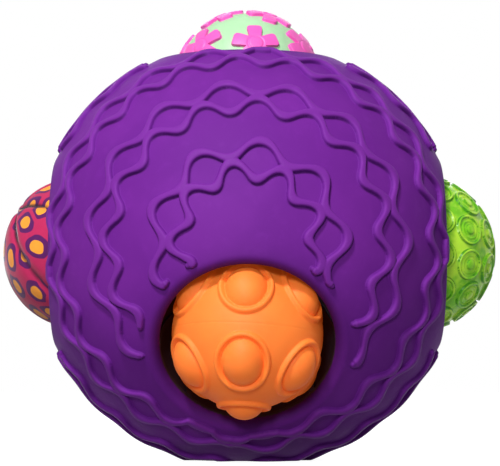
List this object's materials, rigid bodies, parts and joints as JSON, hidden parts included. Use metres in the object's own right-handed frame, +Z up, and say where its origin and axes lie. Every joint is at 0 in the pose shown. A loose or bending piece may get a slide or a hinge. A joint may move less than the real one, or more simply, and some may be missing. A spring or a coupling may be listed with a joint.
{
  "type": "sensory ball",
  "caption": "Soft outer ball with wave ridges and round holes, each holding a small textured ball that turns in its pocket and pops out.",
  "frame": {"origin": "middle of the flat on which the outer ball rests", "axes": "+Z up, -Y to the front hole's side, +X to the right seen from the front, through the two side holes"},
  "size_m": [0.205, 0.1857, 0.1868],
  "materials": {
    "purple_vinyl": "matte",
    "pocket_vinyl": "matte",
    "orange_vinyl": "matte",
    "clear_green": "gloss",
    "clear_bead": "gloss",
    "printed_fabric": "matte",
    "filling": "matte",
    "rattle_plastic": "satin",
    "rattle_red": "gloss",
    "mint_vinyl": "matte",
    "pink_vinyl": "matte",
    "blue_vinyl": "matte",
    "yellow_bead": "gloss",
    "bell_metal": "polished"
  },
  "bodies": {
    "outer_ball": {"front_shell": "purple_vinyl", "rear_shell": "purple_vinyl", "front_ridges": "purple_vinyl", "rear_ridges": "purple_vinyl", "front_cup": "pocket_vinyl", "rear_cup": "pocket_vinyl", "left_cup": "pocket_vinyl", "right_cup": "pocket_vinyl", "top_cup": "pocket_vinyl"},
    "orange_core": {"orange_bell": "bell_metal", "orange_bell_pellet": "bell_metal"},
    "orange_ball": {"orange_upper_half": "orange_vinyl", "orange_lower_half": "orange_vinyl"},
    "green_core": {"green_beads": "clear_bead"},
    "green_ball": {"green_outer_half": "clear_green", "green_inner_half": "clear_green"},
    "print_core": {"print_rattle_bead": "rattle_red"},
    "print_ball": {"print_panel_1": "printed_fabric", "print_panel_2": "printed_fabric", "print_panel_3": "printed_fabric", "print_panel_4": "printed_fabric", "print_panel_5": "printed_fabric", "print_panel_6": "printed_fabric", "print_upper_filling": "filling", "print_lower_filling": "filling", "print_rattle_case": "rattle_plastic", "print_rattle_lid": "rattle_plastic"},
    "mint_core": {"mint_bell": "bell_metal", "mint_bell_pellet": "bell_metal"},
    "mint_ball": {"mint_outer_half": "mint_vinyl", "mint_inner_half": "mint_vinyl", "mint_flowers": "pink_vinyl"},
    "blue_core": {"blue_beads": "yellow_bead"},
    "blue_ball": {"blue_outer_half": "blue_vinyl", "blue_inner_half": "blue_vinyl"}
  },
  "joints": [
    {"name": "orange_pop_out", "type": "slide", "parent": "outer_ball", "child": "orange_core", "axis": [0, -0.866, -0.5], "range_m": [0, 0.046]},
    {"name": "orange_spin", "type": "hinge", "parent": "orange_core", "child": "orange_ball", "pos_m": [0, -0.06062, 0.0502], "axis": [0, -0.866, -0.5], "continuous": true},
    {"name": "blue_pop_out", "type": "slide", "parent": "outer_ball", "child": "blue_core", "axis": [0, 0.866, -0.5], "range_m": [0, 0.046]},
    {"name": "blue_spin", "type": "hinge", "parent": "blue_core", "child": "blue_ball", "pos_m": [0, 0.06062, 0.0502], "axis": [0, 0.866, -0.5], "continuous": true},
    {"name": "print_pop_out", "type": "slide", "parent": "outer_ball", "child": "print_core", "axis": [-1, 0, 0], "range_m": [0, 0.046]},
    {"name": "print_spin", "type": "hinge", "parent": "print_core", "child": "print_ball", "pos_m": [-0.07, 0, 0.0852], "axis": [-1, 0, 0], "continuous": true},
    {"name": "green_pop_out", "type": "slide", "parent": "outer_ball", "child": "green_core", "axis": [1, 0, 0], "range_m": [0, 0.046]},
    {"name": "green_spin", "type": "hinge", "parent": "green_core", "child": "green_ball", "pos_m": [0.07, 0, 0.0852], "axis": [1, 0, 0], "continuous": true},
    {"name": "mint_pop_out", "type": "slide", "parent": "outer_ball", "child": "mint_core", "axis": [0, 0, 1], "range_m": [0, 0.046]},
    {"name": "mint_spin", "type": "hinge", "parent": "mint_core", "child": "mint_ball", "pos_m": [0, 0, 0.1552], "axis": [0, 0, 1], "continuous": true}
  ]
}
